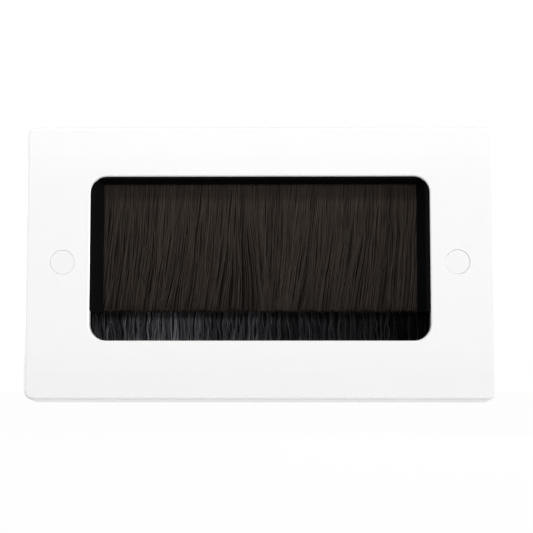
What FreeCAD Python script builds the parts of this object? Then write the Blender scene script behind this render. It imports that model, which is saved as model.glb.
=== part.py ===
"""Brush cable entry plate: a double wall plate with two overlapping bristle curtains.

X runs to the right along the plate, Y into the wall and Z up. The wall plane is y = 0 and the
origin lies midway between the two fixing holes, on that plane. Lengths are in millimetres.
"""
import FreeCAD, Part
import os
import random
import re

import Sketcher

V = FreeCAD.Vector

doc = FreeCAD.newDocument("BrushPlate")
sheet = doc.addObject("Spreadsheet::Sheet", "Dimensions")

# Driving dimensions
SIZES = {
    # the moulded plate, from the distance between its fixing holes
    "fixing_spacing": 120.6,
    "fixing_inset": 12.7,
    "plate_height": 86,
    "plate_depth": 9.5,
    "plate_corner": 4,
    "plate_draft": 8,
    "plate_round": 1.1,
    "face_wall": 2.6,
    "rim_wall": 2,
    "slope_band": 9.8,
    "slope_blend": 6.2,
    "slope_angle": 5,
    "stiffener_wall": 1.2,
    "stiffener_depth": 3.6,
    # the cable aperture, as large as the tubes and ears leave room for
    "aperture_corner": 5,
    "aperture_lift": 1.2,
    "aperture_bevel": 0.3,
    "tube_gap": 0.4,
    "ear_margin": 1.5,
    # fixing holes and their caps
    "fixing_hole": 4,
    "tube_diameter": 10,
    "head_bore": 7,
    "head_bore_depth": 4.6,
    "cap_diameter": 7.4,
    "cap_seat_depth": 1.3,
    "cap_thickness": 1.2,
    "cap_bevel": 0.1,
    "cap_skirt": 1.6,
    "cap_wall": 0.8,
    "cap_slit": 1,
    "cap_clearance": 0.05,
    # the two black frames
    "frame_wall": 1.6,
    "frame_side": 2.9,
    "frame_corner": 2,
    "skirt_depth": 1.6,
    "hood_inset": 0.3,
    "hood_gap": 0.1,
    "hood_lip": 1.2,
    "cheek_slope": 3.6,
    "brow_slope": 1.85,
    "sill_drop": 1.35,
    "sill_rib": 1.2,
    "sill_rib_spacing": 24,
    "sill_rib_count": 4,
    "groove_height": 7.4,
    "fit_gap": 0.1,
    # posts, ears and screws
    "post_inset": 10,
    "post_offset": 2.5,
    "post_diameter": 4.2,
    "pilot_diameter": 2.7,
    "pilot_depth": 4,
    "ear_diameter": 6,
    "ear_gap": 0.1,
    "screw_diameter": 2.6,
    "screw_length": 4.4,
    "screw_hole": 3.1,
    "screw_head": 4.6,
    "screw_head_height": 1.6,
    "screw_cross": 2.4,
    "screw_cross_width": 0.6,
    "screw_cross_depth": 0.8,
    # the strips: crimped channel, wire and bristles
    "channel_width": 4.8,
    "channel_height": 5.2,
    "channel_wall": 0.6,
    "channel_back_round": 1.2,
    "lip_height": 1.4,
    "lip_reach": 0.4,
    "mouth_margin": 0.75,
    "strip_end_gap": 0.3,
    "curtain_spacing": 8,
    "wire_diameter": 1.2,
    "fold_gap": 0.05,
    "upper_tip_gap": 9.8,
    "lower_tip_gap": 12.3,
    "tuft_pitch": 2.1,
    "tuft_overlap": 0.5,
    "tuft_least_overlap": 0.2,
    "tuft_lean_left": 1.5,
    "tuft_lean_right": 0.6,
    "tuft_taper": 0.9,
    "tuft_depth": 3.2,
    "tip_scatter": 1.2,
}

for row, (name, size) in enumerate(SIZES.items(), start=1):
    sheet.set(f"A{row}", name.replace("_", " "))
    sheet.set(f"B{row}", str(size))
    sheet.setAlias(f"B{row}", name)
doc.recompute()

# Places worked out from the driving dimensions, as expressions. A depth is counted from the wall
# plane towards the front, and a rear place from the wall plane into the wall.
INNER_FACE = "(plate_depth - face_wall)"
FLANGE_BACK = f"({INNER_FACE} - frame_wall)"
FRAME_SPLIT = f"({FLANGE_BACK} - skirt_depth)"
PLATE_HALF_WIDTH = "(fixing_spacing / 2 + fixing_inset)"
FRAME_HALF_WIDTH = "(fixing_spacing / 2 - tube_diameter / 2 - tube_gap)"
APERTURE_HALF_WIDTH = f"({FRAME_HALF_WIDTH} - frame_side)"
POST_RISE = "(plate_height / 2 - aperture_lift - rim_wall - ear_margin - ear_diameter / 2)"
FRAME_HALF_HEIGHT = f"({POST_RISE} - post_offset)"
APERTURE_HALF_HEIGHT = f"({FRAME_HALF_HEIGHT} - frame_wall - fit_gap - channel_height - mouth_margin)"
TRAY_HALF_WIDTH = f"({FRAME_HALF_WIDTH} - frame_wall)"
TRAY_HALF_HEIGHT = f"({FRAME_HALF_HEIGHT} - frame_wall)"
STRIP_HALF_LENGTH = f"({TRAY_HALF_WIDTH} - strip_end_gap)"
APERTURE_TOP = f"(aperture_lift + {APERTURE_HALF_HEIGHT})"
APERTURE_BOTTOM = f"(aperture_lift - {APERTURE_HALF_HEIGHT})"
BROW = f"({APERTURE_TOP} - brow_slope)"
CHEEK = f"({APERTURE_HALF_WIDTH} - cheek_slope)"
SILL = f"({APERTURE_BOTTOM} - sill_drop)"
UPPER_PLANE = f"(-{FLANGE_BACK} + fit_gap + channel_width / 2)"
LOWER_PLANE = f"({UPPER_PLANE} + curtain_spacing)"
UPPER_BACK = f"(aperture_lift + {TRAY_HALF_HEIGHT} - fit_gap)"
LOWER_BACK = f"(aperture_lift - {TRAY_HALF_HEIGHT} + fit_gap)"
UPPER_MOUTH = f"({UPPER_BACK} - channel_height)"
LOWER_MOUTH = f"({LOWER_BACK} + channel_height)"
UPPER_TIPS = f"({LOWER_MOUTH} + upper_tip_gap)"
LOWER_TIPS = f"({UPPER_MOUTH} - lower_tip_gap)"
TRAY_BACK = f"({LOWER_PLANE} + channel_width / 2 + fit_gap + frame_wall)"
LIP_FRONT = f"({UPPER_PLANE} + channel_width / 2 + fit_gap)"
SILL_BACK = f"({LOWER_PLANE} - channel_width / 2 - fit_gap)"
POST_X = f"({APERTURE_HALF_WIDTH} - post_inset)"
WIRE_DROP = "(channel_width / 2)"

# How near to a face or outline an edge lies that is rounded with it
NEAR = 0.1


def bound(text):
    """Turns bare names of dimensions into references to the sheet."""
    return re.sub(r"[a-z_]{4,}", lambda word: "Dimensions." + word.group(), str(text))


def value(text):
    """Works out an expression of dimensions now."""
    return float(sheet.evalExpression(bound(text)))


def tie(item, prop, text):
    """Binds a property of a feature to an expression of dimensions."""
    item.setExpression(prop, bound(text))


def new_body(label):
    body = doc.addObject("PartDesign::Body", label)
    body.Label = label
    return body


def sketch_on(body, name, role, offset=None):
    """An empty sketch on one of the body's own origin planes, moved along its normal."""
    sketch = body.newObject("Sketcher::SketchObject", name)
    plane = next(item for item in body.Origin.OriginFeatures if item.Role == role)
    sketch.AttachmentSupport = (plane, [""])
    sketch.MapMode = "FlatFace"
    if offset is not None:
        tie(sketch, "AttachmentOffset.Base.z", offset)
    return sketch


def arc_middle(start, end, radius):
    """The middle of the short arc from start to end; a negative radius bulges to the left."""
    chord = end - start
    half = chord.Length / 2
    size = abs(radius)
    sagitta = size - (size * size - half * half) ** 0.5
    side = V(chord.y, -chord.x, 0).normalize()
    if radius < 0:
        side = -side
    return (start + end) / 2 + side * sagitta


def outline(sketch, corners):
    """A closed outline. A corner is (across, up), or (across, up, radius) where the edge that
    comes to it is an arc; every place and radius is bound to the sheet of dimensions."""
    first = sketch.GeometryCount
    count = len(corners)
    places = [V(value(corner[0]), value(corner[1]), 0) for corner in corners]
    for index in range(count):
        start, end = places[index - 1], places[index]
        radius = corners[index][2] if len(corners[index]) > 2 else None
        if radius is None:
            sketch.addGeometry(Part.LineSegment(start, end))
        else:
            sketch.addGeometry(Part.Arc(start, arc_middle(start, end, value(radius)), end))
    for index in range(count):
        before = first + (index - 1) % count
        here = first + index
        ends = (2, 1)
        if len(corners[index - 1]) > 2 and value(corners[index - 1][2]) < 0:
            ends = (1, ends[1])
        if len(corners[index]) > 2 and value(corners[index][2]) < 0:
            ends = (ends[0], 2)
        sketch.addConstraint(Sketcher.Constraint("Coincident", before, ends[0], here, ends[1]))
        far_end = 1 if len(corners[index]) > 2 and value(corners[index][2]) < 0 else 2
        for kind, text, now in (
            ("DistanceX", corners[index][0], places[index].x),
            ("DistanceY", corners[index][1], places[index].y),
        ):
            number = sketch.addConstraint(Sketcher.Constraint(kind, -1, 1, here, far_end, now))
            sketch.setExpression(f"Constraints[{number}]", bound(text))
        if len(corners[index]) > 2:
            size = abs(value(corners[index][2]))
            number = sketch.addConstraint(Sketcher.Constraint("Radius", here, size))
            sketch.setExpression(f"Constraints[{number}]", bound(f"abs({corners[index][2]})"))


def circle(sketch, across, up, diameter):
    """A circle bound to the sheet by its middle and its diameter."""
    index = sketch.GeometryCount
    place = V(value(across), value(up), 0)
    sketch.addGeometry(Part.Circle(place, V(0, 0, 1), value(diameter) / 2))
    for kind, text, now in (("DistanceX", across, place.x), ("DistanceY", up, place.y)):
        number = sketch.addConstraint(Sketcher.Constraint(kind, -1, 1, index, 3, now))
        sketch.setExpression(f"Constraints[{number}]", bound(text))
    number = sketch.addConstraint(Sketcher.Constraint("Diameter", index, value(diameter)))
    sketch.setExpression(f"Constraints[{number}]", bound(diameter))


def box_corners(left, right, low, high):
    return [(right, low), (right, high), (left, high), (left, low)]


def round_box(left, right, low, high, radius):
    """Corners of a rectangle with rounded corners, counter-clockwise."""
    return [
        (f"{right} - {radius}", low),
        (right, f"{low} + {radius}", radius),
        (right, f"{high} - {radius}"),
        (f"{right} - {radius}", high, radius),
        (f"{left} + {radius}", high),
        (left, f"{high} - {radius}", radius),
        (left, f"{low} + {radius}"),
        (f"{left} + {radius}", low, radius),
    ]


def pad(body, name, sketch, length, reverse=False, taper=None, centred=False):
    """Adds material from a sketch along its normal, or against it."""
    feature = body.newObject("PartDesign::Pad", name)
    feature.Profile = sketch
    tie(feature, "Length", length)
    feature.Reversed = reverse
    if taper:
        tie(feature, "TaperAngle", taper)
    if centred:
        feature.SideType = "Symmetric"
    doc.recompute()
    return feature


def cut(body, name, sketch, length=None, reverse=False, taper=None, centred=False):
    """Takes material away behind a sketch, or in front of it, and tests that it took some."""
    before = body.Shape.Volume
    feature = body.newObject("PartDesign::Pocket", name)
    feature.Profile = sketch
    feature.Reversed = reverse
    if length is None:
        feature.Type = "ThroughAll"
    else:
        tie(feature, "Length", length)
    if taper:
        tie(feature, "TaperAngle", taper)
    if centred:
        feature.SideType = "Symmetric"
    doc.recompute()
    if not body.Shape.Volume < before:
        raise RuntimeError(f"{name} cuts nothing")
    return feature


def edges_where(shape, wanted):
    """Names of the edges whose middle and ends meet a test."""
    return [f"Edge{index}" for index, edge in enumerate(shape.Edges, start=1) if wanted(edge)]


def middle(edge):
    return edge.valueAt((edge.FirstParameter + edge.LastParameter) / 2)


def fillet(body, name, radius, wanted):
    """Rounds the edges of the body's last feature that meet a test."""
    base = body.Tip
    feature = body.newObject("PartDesign::Fillet", name)
    feature.Base = (base, edges_where(base.Shape, wanted))
    tie(feature, "Radius", radius)
    doc.recompute()
    return feature


def chamfer(body, name, size, wanted):
    """Bevels the edges of the body's last feature that meet a test."""
    base = body.Tip
    feature = body.newObject("PartDesign::Chamfer", name)
    feature.Base = (base, edges_where(base.Shape, wanted))
    tie(feature, "Size", size)
    doc.recompute()
    return feature


def add_face_plate():
    """White moulded shell: drafted rim, sloped top and bottom bands, aperture, tubes and posts."""
    body = new_body("face_plate")
    half_width, half_height = PLATE_HALF_WIDTH, "plate_height / 2"
    shell = sketch_on(body, "plate_outline", "XZ_Plane")
    outline(shell, round_box(f"-{half_width}", half_width, f"-{half_height}", half_height,
                             "plate_corner"))
    pad(body, "plate_block", shell, "plate_depth", taper="-plate_draft")

    # Each long edge of the face rolls off: a blend and then a straight slope to the rim.
    slopes = sketch_on(body, "slope_section", "YZ_Plane")
    radius = "slope_blend / sin(slope_angle)"
    blend_drop = f"{radius} * (1 - cos(slope_angle))"
    start = "(plate_height / 2 - slope_band - slope_blend)"
    knee = "(plate_height / 2 - slope_band)"
    past = "(plate_height / 2 + rim_wall)"
    rim_drop = f"{blend_drop} + (slope_band + rim_wall) * tan(slope_angle)"
    ahead = "-plate_depth - rim_wall"
    outline(slopes, [
        ("-plate_depth", start),
        (f"-plate_depth + {blend_drop}", knee, radius),
        (f"-plate_depth + {rim_drop}", past),
        (ahead, past),
        (ahead, start),
    ])
    outline(slopes, [
        ("-plate_depth", f"-{start}"),
        (f"-plate_depth + {blend_drop}", f"-{knee}", f"-{radius}"),
        (f"-plate_depth + {rim_drop}", f"-{past}"),
        (ahead, f"-{past}"),
        (ahead, f"-{start}"),
    ])
    cut(body, "face_slopes", slopes, centred=True)

    # The rim's front edge is rounded all the way round.
    depth = value("plate_depth")
    reach = value(rim_drop)
    edge_x = value(f"{half_width} - rim_wall")
    edge_z = value(f"{half_height} - rim_wall")

    def on_rim(edge):
        spot = middle(edge)
        near_face = all(point.Point.y < reach - depth + NEAR for point in edge.Vertexes)
        return near_face and (abs(spot.x) > edge_x or abs(spot.z) > edge_z)

    fillet(body, "rim_round", "plate_round", on_rim)

    aperture = sketch_on(body, "aperture_outline", "XZ_Plane")
    outline(aperture, round_box(f"-{APERTURE_HALF_WIDTH}", APERTURE_HALF_WIDTH,
                                APERTURE_BOTTOM, APERTURE_TOP, "aperture_corner"))
    cut(body, "aperture", aperture, reverse=True)
    inside_x = value(APERTURE_HALF_WIDTH) + NEAR
    inside_z = value(APERTURE_HALF_HEIGHT) + NEAR
    lift = value("aperture_lift")

    def on_aperture(edge):
        spot = middle(edge)
        in_front = all(point.Point.y < reach - depth + NEAR for point in edge.Vertexes)
        return in_front and abs(spot.x) < inside_x and abs(spot.z - lift) < inside_z

    chamfer(body, "aperture_edge", "aperture_bevel", on_aperture)

    hollow = sketch_on(body, "hollow_outline", "XZ_Plane")
    outline(hollow, round_box(f"-{half_width} + rim_wall", f"{half_width} - rim_wall",
                              f"-{half_height} + rim_wall", f"{half_height} - rim_wall",
                              "(plate_corner - rim_wall)"))
    cut(body, "hollow", hollow, INNER_FACE, reverse=True, taper="-plate_draft")

    stiffeners = sketch_on(body, "stiffener_outlines", "XZ_Plane", f"{INNER_FACE} - stiffener_depth")
    for side in ("-", ""):
        middle_line = f"{side}fixing_spacing / 2"
        outline(stiffeners, box_corners(
            f"{middle_line} - stiffener_wall / 2", f"{middle_line} + stiffener_wall / 2",
            f"-{half_height} + rim_wall / 2", f"{half_height} - rim_wall / 2"))
    pad(body, "stiffeners", stiffeners, "stiffener_depth")
    tubes = sketch_on(body, "tube_circles", "XZ_Plane")
    for side in ("-", ""):
        circle(tubes, f"{side}fixing_spacing / 2", "0", "tube_diameter")
    pad(body, "screw_tubes", tubes, INNER_FACE)
    posts = sketch_on(body, "post_circles", "XZ_Plane", FRAME_SPLIT)
    for across, up in post_places():
        circle(posts, across, up, "post_diameter")
    pad(body, "posts", posts, f"{INNER_FACE} - {FRAME_SPLIT}")

    pilots = sketch_on(body, "pilot_circles", "XZ_Plane", FRAME_SPLIT)
    for across, up in post_places():
        circle(pilots, across, up, "pilot_diameter")
    cut(body, "pilot_holes", pilots, "pilot_depth", reverse=True)
    for name, diameter, sunk in (
        ("cap_seats", "cap_diameter + 2 * cap_clearance", "cap_seat_depth"),
        ("head_bores", "head_bore", "head_bore_depth"),
        ("fixing_holes", "fixing_hole", "plate_depth"),
    ):
        rings = sketch_on(body, f"{name}_circles", "XZ_Plane", "plate_depth")
        for side in ("-", ""):
            circle(rings, f"{side}fixing_spacing / 2", "0", diameter)
        cut(body, name, rings, sunk)
    return body


def post_places():
    """Middles of the four posts that carry the frames, as expressions."""
    return [
        (f"{side}{POST_X}", f"aperture_lift {way} {POST_RISE}")
        for way in ("-", "+")
        for side in ("-", "")
    ]


def add_screw_cap(label, side):
    """Push-in cap: a disc with a bevelled edge on a slit skirt."""
    body = new_body(label)
    section = sketch_on(body, f"{label}_section", "XY_Plane")
    seat = "(-plate_depth + cap_seat_depth)"
    front = f"({seat} - cap_thickness)"
    skirt = "(head_bore / 2 - cap_clearance / 2)"
    outline(section, [
        ("0", front),
        ("0", seat),
        (f"{skirt} - cap_wall", seat),
        (f"{skirt} - cap_wall", f"{seat} + cap_skirt"),
        (skirt, f"{seat} + cap_skirt"),
        (skirt, seat),
        ("cap_diameter / 2", seat),
        ("cap_diameter / 2", f"{front} + cap_bevel"),
        ("cap_diameter / 2 - cap_bevel", front),
    ])
    turn = body.newObject("PartDesign::Revolution", f"{label}_turned")
    turn.Profile = section
    turn.ReferenceAxis = (section, ["V_Axis"])
    turn.Angle = 360
    doc.recompute()
    slits = sketch_on(body, f"{label}_slits", "XZ_Plane", f"-{seat} - cap_skirt")
    outline(slits, box_corners("-head_bore", "head_bore", "-cap_slit / 2", "cap_slit / 2"))
    cut(body, f"{label}_slit_across", slits, "cap_skirt", reverse=True)
    slits = sketch_on(body, f"{label}_slits_up", "XZ_Plane", f"-{seat} - cap_skirt")
    outline(slits, box_corners("-cap_slit / 2", "cap_slit / 2", "-head_bore", "head_bore"))
    cut(body, f"{label}_slit_up", slits, "cap_skirt", reverse=True)
    tie(body, "Placement.Base.x", f"{side}fixing_spacing / 2")
    return body


def add_ears(body, depth):
    """Four round-ended ears over the posts, from the frame's edge out."""
    sketch = sketch_on(body, f"{body.Label}_ears", "XZ_Plane", depth)
    for side in ("-", ""):
        for way in ("-", "+"):
            left = f"{side}{POST_X} - ear_diameter / 2"
            right = f"{side}{POST_X} + ear_diameter / 2"
            root = f"aperture_lift {way} ({FRAME_HALF_HEIGHT} - frame_wall / 2)"
            end = f"aperture_lift {way} {POST_RISE}"
            tip = f"aperture_lift {way} ({POST_RISE} + ear_diameter / 2)"
            sign = "-" if way == "-" else ""
            outline(sketch, [
                (right, root),
                (right, end),
                (f"{side}{POST_X}", tip, f"{sign}ear_diameter / 2"),
                (left, end, f"{sign}ear_diameter / 2"),
                (left, root),
            ])
    pad(body, f"{body.Label}_ear_pads", sketch, "frame_wall")


def add_ear_holes(body, diameter):
    sketch = sketch_on(body, f"{body.Label}_ear_circles", "XZ_Plane")
    for across, up in post_places():
        circle(sketch, across, up, diameter)
    cut(body, f"{body.Label}_ear_holes", sketch, centred=True)


def add_front_frame():
    """Black moulding against the plate's back, with a sloped hood that lines the aperture."""
    body = new_body("front_frame")
    low, high = f"aperture_lift - {FRAME_HALF_HEIGHT}", f"aperture_lift + {FRAME_HALF_HEIGHT}"
    flange = sketch_on(body, "flange_outline", "XZ_Plane", FRAME_SPLIT)
    outline(flange, round_box(f"-{FRAME_HALF_WIDTH}", FRAME_HALF_WIDTH, low, high, "frame_corner"))
    pad(body, "flange_block", flange, "skirt_depth + frame_wall")
    inside = sketch_on(body, "skirt_inside", "XZ_Plane", FRAME_SPLIT)
    outline(inside, box_corners(f"-{TRAY_HALF_WIDTH}", TRAY_HALF_WIDTH,
                                f"aperture_lift - {TRAY_HALF_HEIGHT}",
                                f"aperture_lift + {TRAY_HALF_HEIGHT}"))
    cut(body, "skirt_hollow", inside, "skirt_depth", reverse=True)
    add_ears(body, FLANGE_BACK)

    # The hood fills the aperture's top and sides down to the level of the front tips.
    hood = sketch_on(body, "hood_outline", "XZ_Plane", FLANGE_BACK)
    edge = f"({APERTURE_HALF_WIDTH} - hood_gap)"
    top = f"({APERTURE_TOP} - hood_gap)"
    bend = "(aperture_corner - hood_gap)"
    outline(hood, [
        (edge, UPPER_TIPS),
        (edge, f"{top} - {bend}"),
        (f"{edge} - {bend}", top, bend),
        (f"-{edge} + {bend}", top),
        (f"-{edge}", f"{top} - {bend}", bend),
        (f"-{edge}", UPPER_TIPS),
    ])
    pad(body, "hood_block", hood, "frame_wall + face_wall - hood_inset")

    # The way through: narrow between the cheeks, full width below them.
    way = sketch_on(body, "way_outline", "XZ_Plane", FLANGE_BACK)
    outline(way, box_corners(f"-{TRAY_HALF_WIDTH}", TRAY_HALF_WIDTH, SILL, UPPER_TIPS))
    cut(body, "lower_way", way, reverse=True)
    back_mouth = sketch_on(body, "mouth_back", "XZ_Plane", FLANGE_BACK)
    outline(back_mouth, box_corners(f"-{CHEEK}", CHEEK, UPPER_TIPS, BROW))
    front_mouth = sketch_on(body, "mouth_front", "XZ_Plane", "plate_depth - hood_inset")
    outline(front_mouth, box_corners(f"-{edge} + hood_lip", f"{edge} - hood_lip",
                                     UPPER_TIPS, f"{top} - hood_lip / 2"))
    mouth = body.newObject("PartDesign::SubtractiveLoft", "sloped_mouth")
    mouth.Profile = back_mouth
    mouth.Sections = [front_mouth]
    mouth.Ruled = True
    doc.recompute()

    # A sill behind the flange presses the lower strip back into the tray.
    sill = sketch_on(body, "sill_section", "YZ_Plane")
    outline(sill, box_corners(f"-{FLANGE_BACK} - frame_wall / 2", SILL_BACK,
                              f"{SILL} - frame_wall", SILL))
    pad(body, "sill", sill, f"2 * ({TRAY_HALF_WIDTH} - fit_gap)", centred=True)
    first = sketch_on(body, "sill_rib_section", "YZ_Plane",
                      "-sill_rib_spacing * (sill_rib_count - 1) / 2")
    outline(first, box_corners(f"-{FLANGE_BACK} - frame_wall / 2", SILL_BACK, LOWER_BACK,
                               f"{SILL} - frame_wall / 2"))
    rib = pad(body, "sill_rib", first, "sill_rib", centred=True)
    ribs = body.newObject("PartDesign::LinearPattern", "sill_ribs")
    ribs.Originals = [rib]
    ribs.Direction = (first, ["N_Axis"])
    ribs.Mode = "Spacing"
    tie(ribs, "Offset", "sill_rib_spacing")
    tie(ribs, "Occurrences", "sill_rib_count")
    body.Tip = ribs
    doc.recompute()
    add_ear_holes(body, "post_diameter + 2 * ear_gap")
    return body


def add_rear_frame():
    """Black tray inside the wall box: walls, an upper lip and a lower groove for the strips."""
    body = new_body("rear_frame")
    low, high = f"aperture_lift - {FRAME_HALF_HEIGHT}", f"aperture_lift + {FRAME_HALF_HEIGHT}"
    ring = sketch_on(body, "tray_outline", "XZ_Plane", f"-{TRAY_BACK}")
    outline(ring, round_box(f"-{FRAME_HALF_WIDTH}", FRAME_HALF_WIDTH, low, high, "frame_corner"))
    pad(body, "tray_block", ring, f"{TRAY_BACK} + {FRAME_SPLIT}")
    hollow = sketch_on(body, "tray_hollow_outline", "XZ_Plane", f"-{TRAY_BACK}")
    outline(hollow, box_corners(f"-{TRAY_HALF_WIDTH}", TRAY_HALF_WIDTH,
                                f"aperture_lift - {TRAY_HALF_HEIGHT}",
                                f"aperture_lift + {TRAY_HALF_HEIGHT}"))
    cut(body, "tray_hollow", hollow, centred=True)
    walls = sketch_on(body, "strip_walls_section", "YZ_Plane")
    outline(walls, box_corners(LIP_FRONT, f"{LIP_FRONT} + frame_wall",
                               f"{high} - groove_height", f"{high} - frame_wall / 2"))
    outline(walls, box_corners(f"{TRAY_BACK} - frame_wall", TRAY_BACK,
                               f"{low} + frame_wall / 2", f"{low} + groove_height"))
    pad(body, "strip_walls", walls, f"2 * {FRAME_HALF_WIDTH} - frame_wall", centred=True)
    add_ears(body, f"{FRAME_SPLIT} - frame_wall")
    add_ear_holes(body, "screw_hole")
    return body


def add_channel(label, plane, back, way):
    """Folded steel channel with a rounded back and lips crimped towards the bristles."""
    body = new_body(label)
    half = "channel_width / 2"
    mouth = f"({back} {way} channel_height)"
    crimp = f"({mouth} {'+' if way == '-' else '-'} lip_height)"
    inner_back = f"({back} {way} channel_wall)"
    bend = "channel_back_round"
    inner_bend = "(channel_back_round - channel_wall)"
    turn = "" if way == "-" else "-"
    section = sketch_on(body, f"{label}_section", "YZ_Plane")
    inner = f"({half} - channel_wall)"
    outline(section, [
        (f"{plane} + {half} - lip_reach", mouth),
        (f"{plane} + {half}", crimp),
        (f"{plane} + {half}", f"{back} {way} {bend}"),
        (f"{plane} + {half} - {bend}", back, f"{turn}{bend}"),
        (f"{plane} - {half} + {bend}", back),
        (f"{plane} - {half}", f"{back} {way} {bend}", f"{turn}{bend}"),
        (f"{plane} - {half}", crimp),
        (f"{plane} - {half} + lip_reach", mouth),
        (f"{plane} - {inner} + lip_reach", mouth),
        (f"{plane} - {inner}", crimp),
        (f"{plane} - {inner}", f"{inner_back} {way} {inner_bend}"),
        (f"{plane} - {inner} + {inner_bend}", inner_back, f"{'-' if turn == '' else ''}{inner_bend}"),
        (f"{plane} + {inner} - {inner_bend}", inner_back),
        (f"{plane} + {inner}", f"{inner_back} {way} {inner_bend}",
         f"{'-' if turn == '' else ''}{inner_bend}"),
        (f"{plane} + {inner}", crimp),
        (f"{plane} + {inner} - lip_reach", mouth),
    ])
    pad(body, f"{label}_length", section, f"2 * {STRIP_HALF_LENGTH}", centred=True)
    return body


def add_core_wire(label, plane, back, way):
    """Steel wire that lies in the bristles' fold."""
    body = new_body(label)
    section = sketch_on(body, f"{label}_section", "YZ_Plane")
    circle(section, plane, f"{back} {way} {WIRE_DROP}", "wire_diameter")
    pad(body, f"{label}_length", section, f"2 * {STRIP_HALF_LENGTH}", centred=True)
    return body


def tapered_prism(section, start, end, scale):
    """A straight solid from a flat section at one place to its scaled copy at another."""
    near = [start + corner for corner in section]
    far = [end + corner * scale for corner in section]
    faces = [
        Part.Face(Part.makePolygon([near[i - 1], near[i], far[i], far[i - 1], near[i - 1]]))
        for i in range(len(section))
    ]
    faces.append(Part.Face(Part.makePolygon(near + near[:1])))
    faces.append(Part.Face(Part.makePolygon(far + far[:1])))
    solid = Part.Solid(Part.Shell(faces))
    if solid.Volume < 0:
        solid.reverse()
    return solid


def add_bristles(label, plane, back, way, tips, seed):
    """Bristles folded round the wire and held in the channel, in tapered tufts that lean on each
    other near the root and part towards uneven tips. way is -1 where they hang and 1 where they
    stand."""
    draws = random.Random(seed)
    y_mid, z_back = value(plane), value(back)
    half_length = value(STRIP_HALF_LENGTH)
    gap = value("fold_gap")
    z_wire = z_back + way * value(WIRE_DROP)
    z_mouth = z_back + way * value("channel_height")
    wire_radius = value("wire_diameter") / 2
    fold_radius = value("channel_width / 2 - channel_wall") - gap
    neck = value("channel_width / 2 - channel_wall - lip_reach") - gap
    along = V(1, 0, 0)
    origin = V(-half_length, y_mid, z_wire)

    # The fold is a rounded core round the wire, with its two legs pressed together at the lips.
    core = Part.makeCylinder(fold_radius, 2 * half_length, origin, along)
    z_lip = z_mouth - way * value("lip_height")
    legs = [
        V(-half_length, y_mid - fold_radius, z_wire),
        V(-half_length, y_mid + fold_radius, z_wire),
        V(-half_length, y_mid + fold_radius, z_lip),
        V(-half_length, y_mid + neck, z_mouth),
        V(-half_length, y_mid - neck, z_mouth),
        V(-half_length, y_mid - fold_radius, z_lip),
    ]
    root = core.fuse(Part.Face(Part.makePolygon(legs + legs[:1])).extrude(along * 2 * half_length))

    # Tufts: a flattened six-sided section each, slid along to lean and cut to an uneven length.
    pitch = value("tuft_pitch")
    count = round(2 * half_length / pitch)
    pitch = 2 * half_length / count
    half_depth = min(value("tuft_depth") / 2, neck)
    scale = value("tuft_taper")
    scatter = value("tip_scatter")
    z_tips = value(tips)
    tufts = []
    for index in range(count):
        half_tuft = (pitch + draws.uniform(value("tuft_least_overlap"), value("tuft_overlap"))) / 2
        lean = draws.uniform(-value("tuft_lean_left"), value("tuft_lean_right"))
        middle_x = -half_length + pitch * (index + 0.5)
        limit = half_length - half_tuft
        root_x = max(-limit, min(limit, middle_x))
        tip_x = max(-limit, min(limit, middle_x + lean))
        z_tip = z_tips - way * scatter * draws.uniform(0, 1)
        section = [
            V(-half_tuft, 0, 0),
            V(-half_tuft / 2, -half_depth, 0),
            V(half_tuft / 2, -half_depth, 0),
            V(half_tuft, 0, 0),
            V(half_tuft / 2, half_depth, 0),
            V(-half_tuft / 2, half_depth, 0),
        ]
        start = V(root_x, y_mid, z_mouth - way * value("lip_height") / 2)
        end = V(tip_x, y_mid, z_tip)
        tufts.append(tapered_prism(section, start, end, scale))
    solid = root.fuse(tufts)
    solid = solid.cut(Part.makeCylinder(wire_radius, 2 * half_length, origin, along))
    feature = doc.addObject("Part::Feature", label)
    feature.Label = label
    feature.Shape = solid.removeSplitter()
    return feature


def add_frame_screw(label, across, up):
    """Small pan-head screw through a rear ear into its post; the thread is left plain."""
    body = new_body(label)
    section = sketch_on(body, f"{label}_section", "XY_Plane")
    outline(section, [
        ("0", "-screw_length"),
        ("screw_diameter / 2", "-screw_length"),
        ("screw_diameter / 2", "0"),
        ("screw_head / 2", "0"),
        ("screw_head / 2", "screw_head_height"),
        ("0", "screw_head_height"),
    ])
    turn = body.newObject("PartDesign::Revolution", f"{label}_turned")
    turn.Profile = section
    turn.ReferenceAxis = (section, ["V_Axis"])
    turn.Angle = 360
    doc.recompute()
    for way, (wide, tall) in enumerate((("cross", "cross_width"), ("cross_width", "cross"))):
        slot = sketch_on(body, f"{label}_slot_{way}", "XZ_Plane", "-screw_head_height")
        outline(slot, box_corners(f"-screw_{wide} / 2", f"screw_{wide} / 2",
                                  f"-screw_{tall} / 2", f"screw_{tall} / 2"))
        cut(body, f"{label}_recess_{way}", slot, "screw_cross_depth", reverse=True)
    tie(body, "Placement.Base.x", across)
    tie(body, "Placement.Base.y", f"-{FRAME_SPLIT} + frame_wall")
    tie(body, "Placement.Base.z", up)
    return body


def add_frame_screws():
    """The four screws as one group of separate solids."""
    screws = [
        add_frame_screw(f"screw_{number}", across, up)
        for number, (across, up) in enumerate(post_places(), start=1)
    ]
    group = doc.addObject("Part::Compound", "frame_screws")
    group.Label = "frame_screws"
    group.Links = screws
    return group


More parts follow.
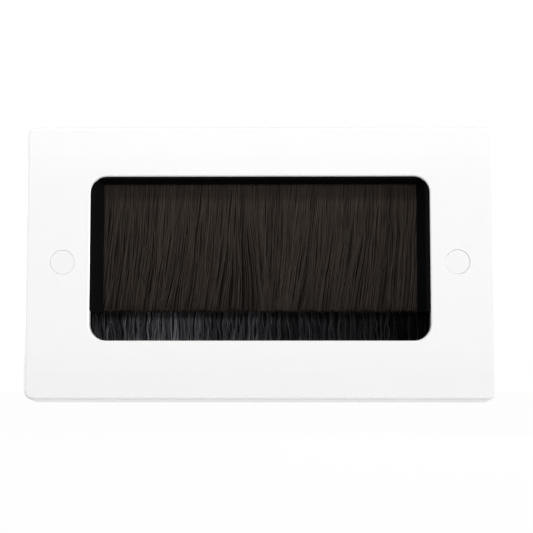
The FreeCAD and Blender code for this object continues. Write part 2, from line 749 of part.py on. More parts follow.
parts = [
    add_face_plate(),
    add_screw_cap("screw_cap_left", "-"),
    add_screw_cap("screw_cap_right", ""),
    add_front_frame(),
    add_rear_frame(),
    add_channel("upper_channel", UPPER_PLANE, UPPER_BACK, "-"),
    add_core_wire("upper_core_wire", UPPER_PLANE, UPPER_BACK, "-"),
    add_bristles("upper_bristles", UPPER_PLANE, UPPER_BACK, -1, UPPER_TIPS, 11),
    add_channel("lower_channel", LOWER_PLANE, LOWER_BACK, "+"),
    add_core_wire("lower_core_wire", LOWER_PLANE, LOWER_BACK, "+"),
    add_bristles("lower_bristles", LOWER_PLANE, LOWER_BACK, 1, LOWER_TIPS, 23),
    add_frame_screws(),
]
doc.recompute()

for item in doc.Objects:
    if "Invalid" in item.State or "Error" in item.State:
        raise RuntimeError(f"{item.Label}: {item.State}")
for part in parts:
    if part.Shape.isNull() or not part.Shape.isValid():
        raise RuntimeError(f"{part.Label} has no valid shape")

os.makedirs("parts", exist_ok=True)
for part in parts:
    part.Shape.exportStep(f"parts/{part.Label}.step")
    box = part.Shape.BoundBox
    print(f"{part.Label:18} solids {len(part.Shape.Solids)}  volume {part.Shape.Volume:9.1f}  "
          f"x {box.XMin:7.2f} {box.XMax:7.2f}  y {box.YMin:6.2f} {box.YMax:6.2f}  "
          f"z {box.ZMin:7.2f} {box.ZMax:7.2f}")
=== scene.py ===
# %% [markdown]
# A brush cable entry plate, dressed for its picture.
# The plate, its caps, the two black frames, the steel channels and the screws come from the packed
# model and keep their shapes. What the model can only stand in for is the bristles: a real curtain
# is thousands of nylon filaments, folded over a wire and gripped in a steel channel. Here each
# curtain is grown filament by filament, in the place that its solid holds.

# %% Load the model and note its box
import math

import bmesh
import bpy
import numpy as np
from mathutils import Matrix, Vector


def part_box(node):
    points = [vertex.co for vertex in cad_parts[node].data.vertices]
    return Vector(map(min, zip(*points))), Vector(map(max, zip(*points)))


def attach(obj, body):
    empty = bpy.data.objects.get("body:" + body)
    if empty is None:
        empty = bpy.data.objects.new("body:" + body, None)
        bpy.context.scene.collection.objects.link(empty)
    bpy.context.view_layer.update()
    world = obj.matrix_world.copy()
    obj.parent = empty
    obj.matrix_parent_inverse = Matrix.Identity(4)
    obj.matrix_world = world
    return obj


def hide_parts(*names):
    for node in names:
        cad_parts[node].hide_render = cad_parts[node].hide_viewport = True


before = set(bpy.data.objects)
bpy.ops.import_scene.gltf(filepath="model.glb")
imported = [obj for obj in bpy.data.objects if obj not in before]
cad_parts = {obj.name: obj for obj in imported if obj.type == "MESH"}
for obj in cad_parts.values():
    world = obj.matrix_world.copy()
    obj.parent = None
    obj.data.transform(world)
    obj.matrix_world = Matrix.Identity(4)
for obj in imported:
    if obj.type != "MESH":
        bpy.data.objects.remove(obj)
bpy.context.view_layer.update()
MM = 0.001
print("pieces in the model:", len(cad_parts))

# %% [markdown]
# The camera stands a little below the plate and looks slightly up, so the black hood's brow and the
# thin underside of the rim show. At the wall plane 1 mm is 3.19 pixels of a picture 533 pixels wide,
# which with the distance gives the lens. The picture's middle lies a little to the right of the
# plate's own middle, so the camera aims at that point and needs no lens shift.

# %% Place the camera
PICTURE_PIXELS = 533
PIXELS_PER_METRE = 3190
PLATE_PIXEL = (260.3, 264.3)
CAMERA_DISTANCE = 0.34
CAMERA_AZIMUTH = math.radians(0.6)
CAMERA_ELEVATION = math.radians(-4.2)
SENSOR = 36


def add_camera():
    middle = PICTURE_PIXELS / 2
    aim = Vector((
        (middle - PLATE_PIXEL[0]) / PIXELS_PER_METRE,
        0,
        (PLATE_PIXEL[1] - middle) / PIXELS_PER_METRE,
    ))
    away = Vector((
        math.sin(CAMERA_AZIMUTH) * math.cos(CAMERA_ELEVATION),
        -math.cos(CAMERA_AZIMUTH) * math.cos(CAMERA_ELEVATION),
        math.sin(CAMERA_ELEVATION),
    ))
    camera = bpy.data.objects.new("camera", bpy.data.cameras.new("camera"))
    bpy.context.scene.collection.objects.link(camera)
    camera.location = aim + away * CAMERA_DISTANCE
    camera.rotation_euler = (-away).to_track_quat("-Z", "Y").to_euler()
    camera.data.sensor_width = SENSOR
    camera.data.lens = PIXELS_PER_METRE * CAMERA_DISTANCE * SENSOR / PICTURE_PIXELS
    bpy.context.scene.camera = camera
    return camera


camera = add_camera()
print(f"lens {camera.data.lens:.1f} mm at {CAMERA_DISTANCE * 1000:.0f} mm")

# %% [markdown]
# Materials are node graphs, and sums of nodes are easier to read as sums. One small class wraps a
# socket, so that numbers and sockets add and multiply as they do in Python, and one method adds any
# other node from its type, its settings and its inputs.

# %% Write node graphs as expressions
class Graph:
    """A node tree whose sums are written as sums."""

    def __init__(self, tree):
        self.tree = tree

    def node(self, kind, settings, values, output=0):
        """Adds a node: settings first, then values or links by the socket's name or number."""
        made = self.tree.nodes.new(kind)
        for name, value in settings.items():
            setattr(made, name, value)
        for name, value in values.items():
            self.feed(made.inputs[name], value)
        return Wire(self, made.outputs[output])

    def feed(self, socket, value):
        """Links a wire to a socket, or sets its value."""
        if isinstance(value, Wire):
            self.tree.links.new(value.socket, socket)
        else:
            socket.default_value = value

    def seen(self):
        """1 on a ray from the camera, a mirror or glass, and 0 on one that lights a surface."""
        camera, mirror, glass = [
            self.node("ShaderNodeLightPath", {}, {}, f"Is {kind} Ray")
            for kind in ("Camera", "Glossy", "Transmission")
        ]
        return camera.maths("MAXIMUM", mirror).maths("MAXIMUM", glass)


class Wire:
    """A node's output that can stand in a sum."""

    def __init__(self, graph, socket):
        self.graph = graph
        self.socket = socket

    def maths(self, operation, second):
        return self.graph.node("ShaderNodeMath", {"operation": operation}, {0: self, 1: second})

    def __add__(self, other):
        return self.maths("ADD", other)

    def __sub__(self, other):
        return self.maths("SUBTRACT", other)

    def __rsub__(self, other):
        return (self * -1).maths("ADD", other)

    def __mul__(self, other):
        return self.maths("MULTIPLY", other)

    __radd__ = __add__
    __rmul__ = __mul__


class Finish(Graph):
    """A material with one Principled shader, and helpers that add nodes before it."""

    def __init__(self, name, **constants):
        self.material = bpy.data.materials.new(name)
        self.material.use_nodes = True
        super().__init__(self.material.node_tree)
        self.shader = self.tree.nodes["Principled BSDF"]
        for socket, value in constants.items():
            self.shader.inputs[socket.replace("_", " ")].default_value = value
        self.place = self.node("ShaderNodeTexCoord", {}, {}, "Object")

    def drive(self, socket, value):
        """Links a value to the shader."""
        self.feed(self.shader.inputs[socket], value)

    def noise(self, bumps, detail=2.0, stretch=(1, 1, 1)):
        """Smooth random values about one half, with so many bumps to the metre."""
        place = self.node("ShaderNodeMapping", {}, {"Vector": self.place, "Scale": stretch})
        return self.node("ShaderNodeTexNoise", {}, {
            "Vector": place, "Scale": bumps, "Detail": detail})

    def attribute(self, name):
        """A number that the mesh carries."""
        return self.node("ShaderNodeAttribute", {"attribute_name": name}, {}, "Fac")

    def blend(self, factor, first, second):
        """A colour between two colours."""
        return self.node("ShaderNodeMix", {"data_type": "RGBA"}, {
            0: factor, 6: first, 7: second}, 2)

    def bump(self, height, depth, strength=1.0):
        """Lifts the surface by a height from 0 to 1, times a depth in metres."""
        self.drive("Normal", self.node("ShaderNodeBump", {}, {
            "Height": height, "Distance": depth, "Strength": strength}))


def darker(colour, share):
    """The same colour with a share of its light."""
    return tuple(channel * share for channel in colour[:3]) + (1,)


def dress(node, finish):
    """Gives a piece of the model its finish."""
    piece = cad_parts[node]
    piece.data.materials.clear()
    piece.data.materials.append(finish.material)


# %% [markdown]
# The plate is moulded in white urea, a hard plastic with an even gloss. Up close it isn't a mirror:
# the polished mould leaves a faint ripple, and the gloss varies a little. Both are far too small to
# model, so they are a bump and a small change of roughness. The caps come from another mould and get
# the same recipe with half the ripple. The height is worked out in metres here, so the bump's own
# depth is 1.

# %% White moulded plastic
CLOUD_BUMPS = 40
RIPPLE_BUMPS = 160
POLISH_BUMPS = 2600


def white_plastic(name, colour, ripple, relief=None):
    """Ripple is a depth in metres; relief adds more height to the same bump."""
    finish = Finish(name, Specular_IOR_Level=0.5)
    cloud = finish.noise(CLOUD_BUMPS, 3)
    finish.drive("Base Color", finish.blend(cloud, darker(colour, 0.985), colour))
    grain = finish.noise(POLISH_BUMPS, 2)
    finish.drive("Roughness", 0.24 + 0.08 * cloud + 0.05 * grain)
    height = ripple * (finish.noise(RIPPLE_BUMPS, 1) + 0.06 * grain)
    if relief:
        height = height + relief(finish)
    finish.bump(height, 1.0)
    return finish


# %% [markdown]
# The face rolls off towards its long edges through a soft blend, which the model spans with a single
# narrow flat. Light shows that flat as a stripe. A shallow parabola in the bump, as wide as the
# blend, turns the shading evenly from the face's slope to the roll-off's.

# %% Plate with an even roll-off
ROLL_OFF = math.radians(5)
ROLL_OFF_WIDTH = 9.8 * MM
BLEND_WIDTH = 6.2 * MM
PLATE_WHITE = (0.875, 0.875, 0.875, 1)
PLATE_RIPPLE = 0.00002
CAP_WHITE = (0.865, 0.865, 0.865, 1)
CAP_RIPPLE = 0.00001


def soften_blend(finish):
    """Height that bends the shading over the blend above and below the aperture."""
    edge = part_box("face_plate")[1].z
    centre = edge - ROLL_OFF_WIDTH - BLEND_WIDTH / 2
    height = finish.node("ShaderNodeSeparateXYZ", {}, {"Vector": finish.place}, "Z")
    offset = height.maths("ABSOLUTE", 0) - centre
    held = offset.maths("MINIMUM", BLEND_WIDTH / 2).maths("MAXIMUM", -BLEND_WIDTH / 2)
    return held * held * (-math.tan(ROLL_OFF / 2) / BLEND_WIDTH)


plate_finish = white_plastic("white plate", PLATE_WHITE, PLATE_RIPPLE, soften_blend)
dress("face_plate", plate_finish)
cap_finish = white_plastic("white cap", CAP_WHITE, CAP_RIPPLE)
for cap in ("screw_cap_left", "screw_cap_right"):
    dress(cap, cap_finish)
print("white pieces: 3")

# %% [markdown]
# The frames are black nylon from a spark-eroded mould, which leaves a fine satin grain. Such deep
# black sends little light back, so the grain goes into the roughness and the bump, and the colour
# hardly varies.

# %% Black satin plastic
BLOOM_BUMPS = 60
SPARK_BUMPS = 3500
SPARK_DEPTH = 0.00002
DEEP_BLACK = (0.001, 0.001, 0.001, 1)
SOFT_BLACK = (0.003, 0.003, 0.003, 1)


def black_plastic():
    finish = Finish("black frame", Specular_IOR_Level=0.03)
    cloud = finish.noise(BLOOM_BUMPS, 2)
    finish.drive("Base Color", finish.blend(cloud, DEEP_BLACK, SOFT_BLACK))
    grain = finish.noise(SPARK_BUMPS, 3)
    finish.drive("Roughness", 0.34 + 0.12 * grain + 0.08 * cloud)
    finish.bump(grain, SPARK_DEPTH, 0.6)
    return finish


frame_finish = black_plastic()
for moulding in ("front_frame", "rear_frame"):
    dress(moulding, frame_finish)
print("black pieces: 2")

# %% [markdown]
# The channels are folded from zinc-plated strip. Rolling leaves streaks along the strip, and the
# zinc has soft patches a few millimetres wide. The core wires are drawn, with finer streaks, and the
# small screws are plated bright. One recipe with three sets of numbers makes them all.

# %% Zinc-plated steel
PATCH_BUMPS = 420.0
STREAK_DEPTH = 0.00001
ALONG_THE_STRIP = (0.03, 1, 1)


def plated_steel(name, colour, streaks, roughness):
    """Streaks is their number to the metre across the strip."""
    finish = Finish(name, Metallic=1.0)
    streak = finish.noise(streaks, 3, ALONG_THE_STRIP)
    patch = finish.node("ShaderNodeTexVoronoi", {"feature": "SMOOTH_F1"}, {
        "Vector": finish.place, "Scale": PATCH_BUMPS}, "Distance")
    finish.drive("Base Color", finish.blend(0.6 * streak + 0.4 * patch, darker(colour, 0.8), colour))
    finish.drive("Roughness", roughness + 0.15 * streak + 0.1 * patch)
    finish.bump(streak, STREAK_DEPTH, 0.5)
    return finish


channel_finish = plated_steel("channel steel", (0.55, 0.56, 0.58, 1), 4000, 0.28)
wire_finish = plated_steel("wire steel", (0.5, 0.5, 0.5, 1), 9000, 0.22)
for strip in ("upper", "lower"):
    dress(f"{strip}_channel", channel_finish)
    dress(f"{strip}_core_wire", wire_finish)
dress("frame_screws", plated_steel("screw steel", (0.62, 0.61, 0.58, 1), 5000, 0.2))
print("steel pieces: 5")

# %% [markdown]
# A filament is round nylon about a fifth of a millimetre thick. Side by side the filaments differ a
# little in tone, and along each one a painted sheen comes and goes, in place of the light where it
# turns. Every filament carries two numbers on its mesh: its own tint, and how far along it a point
# lies. The material reads them, so the colour follows the filament wherever it bends. A noise whose
# place is made of these two numbers gives every filament painted sheen streaks of its own, and a
# second one, drawn out in height, mottles the curtain as a whole. The front curtain is a dull
# brown-black, painted lighter near the root and darker towards the tips, as painted light and shade;
# the rear one is blue-black and smoother.

# %% Nylon filaments
MOTTLE_BUMPS = 450
DRAWN_OUT = (1, 1, 0.15)
# The streaks along each filament are a painted sheen.
PAINTED_SHEEN_PER_TINT = 900
PAINTED_SHEEN_PER_LENGTH = 7


def filament_finish(name, dark, light, gloss, shine, painted_tip_shade, painted_sheen):
    """Paints darker tips and lighter roots as shade and light, and streaks of painted sheen."""
    finish = Finish(name, Specular_IOR_Level=shine)
    tint = finish.attribute("tint")
    along = finish.attribute("along")
    mottle = finish.noise(MOTTLE_BUMPS, 2, DRAWN_OUT)
    own_place = finish.node("ShaderNodeCombineXYZ", {}, {
        "X": PAINTED_SHEEN_PER_TINT * tint, "Y": PAINTED_SHEEN_PER_LENGTH * along})
    streak = finish.node("ShaderNodeTexNoise", {}, {
        "Vector": own_place, "Scale": 1.0, "Detail": 1.0})
    level = 0.75 - 0.5 * painted_sheen
    # The streak term is a painted sheen; the last term paints the roots lighter and the tips darker,
    # as painted light and shade.
    tone = tint * (0.5 * mottle + painted_sheen * streak + level + painted_tip_shade * (0.5 - along))
    finish.drive("Base Color", finish.blend(tone, dark, light))
    finish.drive("Roughness", gloss + 0.12 * mottle - 0.05 * along)
    return finish


front_finish = filament_finish(
    "front filaments", (0.006, 0.0045, 0.0035, 1), (0.065, 0.05, 0.04, 1),
    gloss=0.5, shine=0.1, painted_tip_shade=0.5, painted_sheen=1.6)
rear_finish = filament_finish(
    "rear filaments", (0.002, 0.002, 0.003, 1), (0.22, 0.223, 0.241, 1),
    gloss=0.28, shine=0.05, painted_tip_shade=0, painted_sheen=0.5)
print("filament finishes: 2")

# %% [markdown]
# A curtain grows in two pieces, its outer rows and its inner rows, and each piece starts as one
# curve object with a thousand short splines or more. Each spline is a filament, and the curve's
# bevel gives it a square section, which at this size looks round and costs few triangles. The curve
# is then turned into a mesh, because a mesh can carry the two numbers for the material. Such a mesh
# lists the end caps first, from the last filament to the first and the tip's before the root's, and
# then each filament's rings from root to tip, so the numbers are laid out in that order. All the
# places are worked out at once with arrays: one row for each filament, one column for each point
# along it.

# %% Turn rows of points into filaments
SECTION_CORNERS = 4
TIP_TAPER = 0.7


def grow_filaments(name, points, radius, tints, finish):
    """A mesh of filaments through points[filament, step], each a little thinner at its tip."""
    count, steps = points.shape[:2]
    curve = bpy.data.curves.new(name, "CURVE")
    curve.dimensions = "3D"
    curve.bevel_depth = 1.0
    curve.bevel_resolution = 0
    curve.use_fill_caps = True
    thickness = np.full(steps, radius)
    thickness[-1] = TIP_TAPER * radius
    for row in points:
        spline = curve.splines.new("POLY")
        spline.points.add(steps - 1)
        spline.points.foreach_set("co", np.c_[row, np.ones(steps)].ravel())
        spline.points.foreach_set("radius", thickness)
    carrier = bpy.data.objects.new(name, curve)
    mesh = bpy.data.meshes.new_from_object(carrier)
    mesh.name = name
    bpy.data.objects.remove(carrier)
    caps = np.repeat([1, 0], SECTION_CORNERS)
    rings = np.repeat(np.linspace(0, 1, steps), SECTION_CORNERS)
    for number, on_caps, on_rings in (
            ("along", np.tile(caps, count), np.tile(rings, count)),
            ("tint", np.repeat(tints[::-1], len(caps)), np.repeat(tints, len(rings)))):
        carried = mesh.attributes.new(number, "FLOAT", "POINT")
        carried.data.foreach_set("value", np.concatenate([on_caps, on_rings]))
    mesh.polygons.foreach_set("use_smooth", np.ones(len(mesh.polygons), bool))
    mesh.materials.append(finish.material)
    piece = bpy.data.objects.new(name, mesh)
    bpy.context.scene.collection.objects.link(piece)
    print(f"{name}: {count} filaments, {len(mesh.polygons)} faces")
    return piece


# %% [markdown]
# A strip holds its filaments in rows, one behind the other, and each row is evenly packed. A row is
# given by how far back it lies, from -1 at the curtain's front to 1 at its back.

# %% Lay the rows of a strip
PACKING_ERROR = 0.2


def lay_rows(draws, half_length, depths, per_row):
    """Root places of all filaments, the depth of each one's row, and the number of its row."""
    pitch = 2 * half_length / per_row
    even = -half_length + pitch * (np.arange(per_row) + 0.5)
    slide = draws.uniform(-0.5, 0.5, (len(depths), 1))
    roots = even + pitch * (slide + draws.normal(0, PACKING_ERROR, (len(depths), per_row)))
    return roots.ravel(), np.repeat(depths, per_row), np.repeat(np.arange(len(depths)), per_row)


# %% [markdown]
# Filaments never hang like a comb. Handling pulls those of the outer rows into locks, and where two
# locks part, a dark slit opens for a few millimetres and closes again. Only the filaments near a
# lock's edge move, so the lock stays full. Rows are cut at random into locks, and a filament learns
# its lock's number, its place in the lock from -1 to 1, and the lock's half width. Two neighbouring
# rows share their locks, so that a slit goes through both. The inner rows stay even and keep the
# curtain dark when one looks into a slit.

# %% Gather rows into locks
def gather(draws, roots, rows, half_length, least, most):
    """For each filament the number of its lock, its place in the lock and the lock's half width."""
    numbers = np.empty(len(roots), int)
    places = np.empty_like(roots)
    halves = np.empty_like(roots)
    first = 0
    for row in range(rows.max() + 1):
        widths = draws.uniform(least, most, math.ceil(2 * half_length / least) + 2)
        edges = -half_length - widths[0] * draws.uniform(0, 1) + np.cumsum(widths) - widths[0]
        inside = rows == row
        lock = np.searchsorted(edges, roots[inside]) - 1
        halves[inside] = widths[lock + 1] / 2
        places[inside] = (roots[inside] - edges[lock]) / halves[inside] - 1
        numbers[inside] = first + lock
        first += len(edges)
    return numbers, np.clip(places, -1, 1), halves


def ramp(values):
    """Rises smoothly from 0 to 1."""
    held = np.clip(values, 0, 1)
    return held * held * (3 - 2 * held)


# %% [markdown]
# Both curtains share a few rules. A filament at a lock's edge moves towards the lock's middle where
# a slit is open, and a lock is round, so its edges also lie less far out. A few filaments stray a
# long way and most hardly at all, which a Student draw with its long tails gives. At the curtain's
# ends the frame leaves no room to move.

# %% Rules for both curtains
HALF_DEPTH = 1.3 * MM
GRIP = 0.8 * MM
LOCK_SWELL = 1.05
STRAY_SHARE = 0.3


def close_up(roots, places, halves, slit, opening):
    """Places across, with the filaments at a lock's edges drawn in by a share of its half width."""
    return roots[:, None] - (slit * places ** 3 * halves)[:, None] * opening


def set_back(low, high, depth, places, roundness, opening):
    """Depths of the filaments in a strip whose channel has this box."""
    swell = LOCK_SWELL - roundness * (places ** 4)[:, None] * opening
    return (low.y + high.y) / 2 + HALF_DEPTH * depth[:, None] * swell


def stray(draws, count, reach):
    """How far each filament strays at its tip."""
    return np.clip(draws.standard_t(2, count) * STRAY_SHARE, -1, 1) * reach


def room_to_move(roots, half_length, margin):
    """1 over the curtain's length and 0 at its very ends."""
    return np.clip((half_length - np.abs(roots)) / margin, 0, 1)


def hold(across, through, height, half_length):
    """Points of all filaments, kept between the curtain's ends."""
    return np.stack([np.clip(across, -half_length, half_length), through, height], axis=2)


# %% [markdown]
# The front curtain hangs from the upper channel. At the top its filaments are straight and close
# together. Lower down they lean so that their tips lie to the left, apart from a few left of the
# middle that lean the other way and leave a longer slit. The lean swells and fades along the
# curtain, and each lock sways a little on its way down.

# %% Lean of the front curtain
channel_low, channel_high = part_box("upper_channel")
solid_low, solid_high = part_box("upper_bristles")
LEAN = 3.8 * MM
LOCK_LEAN = 0.28
LEAN_CURVE = 1.7
STRAY_CURVE = 1.3
PARTING = -2.6 * MM
PARTING_WIDTH = 4.2 * MM
PARTING_PULL = 2.0
SHORT_SWELL = 3.1 * MM
LONG_SWELL = 7.3 * MM
FRONT_MARGIN = 5 * MM


def front_lean(roots, chances, room):
    """How far to the right each filament's tip leans."""
    parted = PARTING_PULL * np.exp(-((roots - PARTING) / PARTING_WIDTH) ** 2)
    swell = 0.22 * np.sin(roots / SHORT_SWELL) + 0.18 * np.sin(roots / LONG_SWELL + 1)
    return LEAN * (parted - 1 + swell + LOCK_LEAN * chances) * room


print(f"the front curtain shows {(channel_low.z - solid_low.z) / MM:.1f} mm under its channel")

# %% [markdown]
# The tips were trimmed in one cut and end nearly level. The two outer rows are what one sees, so
# they get slits, sway, stray filaments and many points. The rows behind them only lean and need few
# points. The nearer a row lies to the strip's middle, the darker it is painted, as painted shade.
# The rows behind hang a little lower, so that a dark line shows under the outer tips.

# %% Grow the front curtain
FRONT_PER_ROW = 490
FRONT_RADIUS = 0.115 * MM
FRONT_END_GAP = 0.2 * MM
FRONT_LOCKS = (0.6 * MM, 1.7 * MM)
FRONT_SLITS = (0.1, 0.24)
SLIT_FADE = 0.08
SWAY = 0.22 * MM
SWAY_TURNS = 1.7
TIP_SCATTER = 0.8 * MM
HIDDEN_DROP = 0.4 * MM


def grow_front_rows(name, depths, step_count, slit, reach, drop, seed):
    draws = np.random.default_rng(seed)
    half_length = solid_high.x - FRONT_END_GAP
    steps = np.linspace(0, 1, step_count)
    roots, depth, rows = lay_rows(draws, half_length, depths, FRONT_PER_ROW)
    numbers, places, halves = gather(draws, roots, rows // 2, half_length, *FRONT_LOCKS)
    locks = numbers.max() + 1
    chances = draws.uniform(-1, 1, locks)[numbers]
    begins = 0.05 + 0.9 * draws.uniform(0, 1, locks)[numbers] ** 0.85
    ends = begins + draws.uniform(*FRONT_SLITS, locks)[numbers]
    opening = ramp((steps - begins[:, None]) / SLIT_FADE) * ramp((ends[:, None] - steps) / SLIT_FADE)
    room = room_to_move(roots, half_length, FRONT_MARGIN)
    lean = front_lean(roots, chances, room)
    astray = stray(draws, len(roots), reach)
    turns = draws.uniform(0, 1, locks)[numbers] + 0.1 * places
    sway = SWAY * np.sin(2 * math.pi * (SWAY_TURNS * steps + turns[:, None])) * ramp(steps / 0.3)

    top = channel_low.z + GRIP
    tips = solid_low.z - drop
    tips = tips + TIP_SCATTER * (0.5 + 0.3 * chances + 0.4 * draws.uniform(-1, 1, len(roots)))
    across = (close_up(roots, places, halves, slit, opening)
              + lean[:, None] * steps ** LEAN_CURVE + astray[:, None] * steps ** STRAY_CURVE
              + sway * (room * (slit > 0))[:, None])
    through = set_back(channel_low, channel_high, depth, places, 0.35, opening)
    through = through + draws.normal(0, 0.04 * MM, len(roots))[:, None]
    down = top + (tips - top)[:, None] * steps
    tints = 0.46 + 0.05 * chances + draws.normal(0, 0.1, len(roots))
    # Rows nearer the strip's middle are painted darker, as painted shade.
    tints = np.clip(tints, 0, 1) * (0.3 + 0.7 * depth ** 2)
    points = hold(across, through, down, half_length)
    return grow_filaments(name, points, FRONT_RADIUS, tints, front_finish)


front_curtain = [
    grow_front_rows("front_filaments_outer", [-1, -0.7], step_count=20,
                    slit=0.5, reach=1.3 * MM, drop=0, seed=7),
    grow_front_rows("front_filaments_inner", [-0.35, 0, 0.35, 0.7, 1], step_count=6,
                    slit=0, reach=0.2 * MM, drop=HIDDEN_DROP, seed=8),
]
for rows_piece in front_curtain:
    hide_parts("upper_bristles")
    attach(rows_piece, "root")

# %% [markdown]
# The rear curtain stands up from the lower channel behind the front one, which hides all but its
# lowest 9 mm. There the filaments are wavy: they come out of the channel in locks that bow and
# cross, each lock with waves of its own length. One patch left of the middle is calm, with
# straighter filaments that are painted lighter, a painted sheen. From left to right the filaments
# are painted darker, as painted shade where less light falls, and most of all on the room's side
# at the right end, a painted shadow of the aperture's edge.

# %% Waves and tones of the rear curtain
low_channel_low, low_channel_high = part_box("lower_channel")
back_low, back_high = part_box("lower_bristles")
REAR_BOW = 0.3 * MM
REAR_WAVES = (0.12, 0.34)
REAR_LEAN = 1.1 * MM
REAR_MARGIN = 3 * MM
# Painted shade: a fade from left to right, and a darker right end on the room's side.
REAR_PAINTED_FADE = 0.14
PAINTED_SHADE = 0.24
PAINTED_SHADE_FROM = 35 * MM
PAINTED_SHADE_WIDTH = 10 * MM
CALM_PLACE = -26 * MM
CALM_WIDTH = 7 * MM


def find_calm_and_sheen(roots):
    """1 in the middle of the calm patch, which is straighter and painted lighter, and 0 away from
    it.
    """
    return np.exp(-((roots - CALM_PLACE) / CALM_WIDTH) ** 2)


def bow_out(steps, lengths, turns, room):
    """Waves along each filament, which start above the channel."""
    bow = REAR_BOW * np.sin(2 * math.pi * (steps / lengths[:, None] + turns[:, None]))
    return bow * ramp(steps / 0.1) * room[:, None]


def rear_tints(draws, roots, depth, chances, half_length):
    """Tints with painted shade: darker to the right, at the right end and in the hidden rows."""
    # Painted shadow of the aperture's edge on the right end of the room's side rows.
    painted_shade = PAINTED_SHADE * ramp((roots - PAINTED_SHADE_FROM) / PAINTED_SHADE_WIDTH) * (depth < 0)
    # Painted shade that deepens from left to right.
    painted_fade = REAR_PAINTED_FADE * roots / half_length + painted_shade
    # The calm patch is painted lighter, a painted sheen; the rest differs at random.
    lift = 0.12 * chances + 0.22 * find_calm_and_sheen(roots) + draws.normal(0, 0.13, len(roots))
    # Rows nearer the strip's middle are painted darker, as painted shade.
    return np.clip(0.45 - painted_fade + lift, 0, 1) ** 2 * (0.1 + 0.9 * depth ** 2)


print(f"the rear curtain stands {(back_high.z - low_channel_high.z) / MM:.1f} mm over its channel")

# %% [markdown]
# The points are closest together near the root, where the curtain shows. Both of its faces can be
# seen, one from the room and one from inside the wall box, so two rows on each side get locks. The
# rows between them are straight, and their filaments are thicker so that fewer rows fill the strip.

# %% Grow the rear curtain
REAR_PER_ROW = 460
REAR_RADIUS = 0.125 * MM
HIDDEN_RADIUS_GAIN = 0.35
REAR_OVERHANG = 0.1 * MM
REAR_LOCKS = (0.4 * MM, 1.5 * MM)
REAR_STRAY = 1.5 * MM
REAR_SCATTER = 1.2 * MM
REAR_RIPPLE = 0.15 * MM
CLOSE_NEAR_ROOT = [0, 0.05, 0.09, 0.13, 0.17, 0.21, 0.25, 0.31, 0.45, 0.7, 1]


def grow_rear_rows(name, depths, steps, slit, loose, seed):
    """Loose is 1 for rows that bow, lean and stray, and near 0 for straight ones."""
    draws = np.random.default_rng(seed)
    half_length = back_high.x + REAR_OVERHANG
    steps = np.array(steps)
    roots, depth, rows = lay_rows(draws, half_length, depths, REAR_PER_ROW)
    numbers, places, halves = gather(draws, roots, rows // 2, half_length, *REAR_LOCKS)
    locks = numbers.max() + 1
    chances = draws.uniform(-1, 1, locks)[numbers]
    turns = draws.uniform(0, 1, locks)[numbers] + 0.08 * places
    lengths = draws.uniform(*REAR_WAVES, locks)[numbers]
    calm = find_calm_and_sheen(roots)
    opening = ramp((steps - 0.01) / 0.06) * (0.65 + 0.35 * np.cos(9 * steps + 6 * turns[:, None]))
    room = room_to_move(roots, half_length, REAR_MARGIN) * loose
    bow = bow_out(steps, lengths, turns, room * (1 - 0.6 * calm))
    lean = REAR_LEAN * (chances - 0.2) * room * (1 - 0.5 * calm)
    astray = stray(draws, len(roots), REAR_STRAY * loose)

    bottom = low_channel_high.z - GRIP
    tips = back_high.z - REAR_SCATTER * draws.uniform(0, 1, len(roots))
    across = (close_up(roots, places, halves, slit, opening) + bow
              + lean[:, None] * ramp(steps / 0.35) + astray[:, None] * steps)
    through = set_back(low_channel_low, low_channel_high, depth, places, 0.4, opening)
    through = through + loose * REAR_RIPPLE * np.sin(24 * steps + 6 * turns[:, None])
    up = bottom + (tips - bottom)[:, None] * steps
    tints = rear_tints(draws, roots, depth, chances, half_length)
    radius = REAR_RADIUS * (1 + HIDDEN_RADIUS_GAIN * (1 - loose))
    return grow_filaments(name, hold(across, through, up, half_length), radius, tints, rear_finish)


rear_curtain = [
    grow_rear_rows("rear_filaments_outer", [-1, -0.75, 0.75, 1], CLOSE_NEAR_ROOT,
                   slit=0.5, loose=1, seed=19),
    grow_rear_rows("rear_filaments_inner", [-0.3, 0, 0.3], [0, 0.1, 0.3, 0.6, 1],
                   slit=0, loose=0.03, seed=20),
]
for rows_piece in rear_curtain:
    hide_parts("lower_bristles")
    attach(rows_piece, "root")

# %% [markdown]
# The background is plain white and the light is soft. The world looks white to the camera and in
# reflections, but lights the plate less, so its white doesn't clip. The lamp above gives the plate
# its slow fade from top to bottom. A low lamp in front and a low, narrow one on the right reach
# under the front curtain's tips, so the shadow below them is short. The right one lights the rear
# curtain's left part more than the right part, which lies behind the aperture's edge. The low lamp
# in front is kept out of reflections, where it would burn out the plate's upper part. A weak lamp
# from below lightens the rim's underside, and three from behind show the form of the back.

# %% Light the scene
WORLD_LIGHT = 0.135


def add_world():
    world = bpy.data.worlds.new("studio")
    bpy.context.scene.world = world
    world.use_nodes = True
    graph = Graph(world.node_tree)
    strength = WORLD_LIGHT + (1 - WORLD_LIGHT) * graph.seen()
    background = world.node_tree.nodes["Background"]
    background.inputs["Color"].default_value = (1, 1, 1, 1)
    graph.feed(background.inputs["Strength"], strength)


def add_lamp(name, place, width, height, power, mirrored=True):
    """A soft lamp that faces the plate."""
    lamp = bpy.data.objects.new(name, bpy.data.lights.new(name, "AREA"))
    bpy.context.scene.collection.objects.link(lamp)
    lamp.data.shape = "RECTANGLE"
    lamp.data.size = width
    lamp.data.size_y = height
    lamp.data.energy = power
    lamp.location = place
    lamp.rotation_euler = (-Vector(place)).to_track_quat("-Z", "Y").to_euler()
    lamp.visible_glossy = mirrored


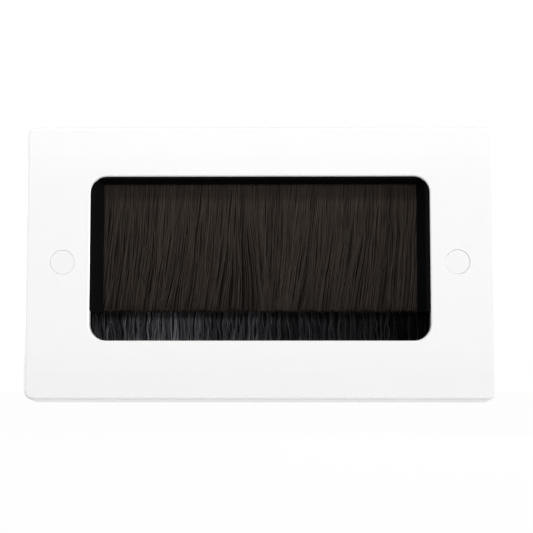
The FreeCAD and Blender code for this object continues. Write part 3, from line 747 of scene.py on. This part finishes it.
add_world()
add_lamp("lamp above", (-0.06, -0.73, 0.87), 0.4, 0.2, power=7.55)
add_lamp("lamp in front", (-0.05, -1.05, 0.28), 0.3, 0.15, power=3.0, mirrored=False)
add_lamp("lamp right", (1.6, -0.45, 0.075), 0.4, 0.1, power=13)
add_lamp("lamp below", (0.0, 0.02, -0.15), 0.3, 0.3, power=0.11)
add_lamp("lamp at the back", (0.3, 1.3, 0.3), 0.5, 0.5, power=7)
add_lamp("lamp behind left", (-0.6, 0.1, 0.05), 0.15, 0.15, power=1.2)
add_lamp("lamp behind right", (0.6, 0.1, 0.05), 0.15, 0.15, power=0.4)
print("lamps:", len(bpy.data.lights))

# %% [markdown]
# The floor lies well below the plate, which is fixed to a wall and doesn't stand. It is pale and
# keeps a share of its own shading, so the plate's soft shadow shows from above, while the camera's
# level view still meets white. Seen from below it is clear, so it never hides the plate.

# %% Lay the floor
FLOOR_DROP = 0.16
FLOOR_RADIUS = 3.0
FLOOR_GLOW = 0.98
FLOOR_GREY = (0.55, 0.55, 0.55, 1)


def add_floor():
    shape = bmesh.new()
    bmesh.ops.create_circle(shape, cap_ends=True, segments=96, radius=FLOOR_RADIUS)
    bmesh.ops.translate(shape, verts=shape.verts, vec=(0, 0, -FLOOR_DROP))
    mesh = bpy.data.meshes.new("floor")
    shape.to_mesh(mesh)
    shape.free()
    floor = bpy.data.objects.new("floor", mesh)
    bpy.context.scene.collection.objects.link(floor)
    material = bpy.data.materials.new("pale floor")
    material.use_nodes = True
    graph = Graph(material.node_tree)
    shader = material.node_tree.nodes["Principled BSDF"]
    shader.inputs["Base Color"].default_value = FLOOR_GREY
    shader.inputs["Roughness"].default_value = 0.9
    glow = graph.node("ShaderNodeEmission", {}, {})
    above = graph.node("ShaderNodeMixShader", {}, {
        0: FLOOR_GLOW * graph.seen(), 1: Wire(graph, shader.outputs[0]), 2: glow})
    below = graph.node("ShaderNodeBsdfTransparent", {}, {})
    from_below = graph.node("ShaderNodeNewGeometry", {}, {}, "Backfacing") * graph.seen()
    both = graph.node("ShaderNodeMixShader", {}, {0: from_below, 1: above, 2: below})
    graph.feed(material.node_tree.nodes["Material Output"].inputs["Surface"], both)
    mesh.materials.append(material)


add_floor()
bpy.context.scene.view_settings.view_transform = "Standard"
print(f"floor {FLOOR_DROP / MM:.0f} mm below the plate's middle")
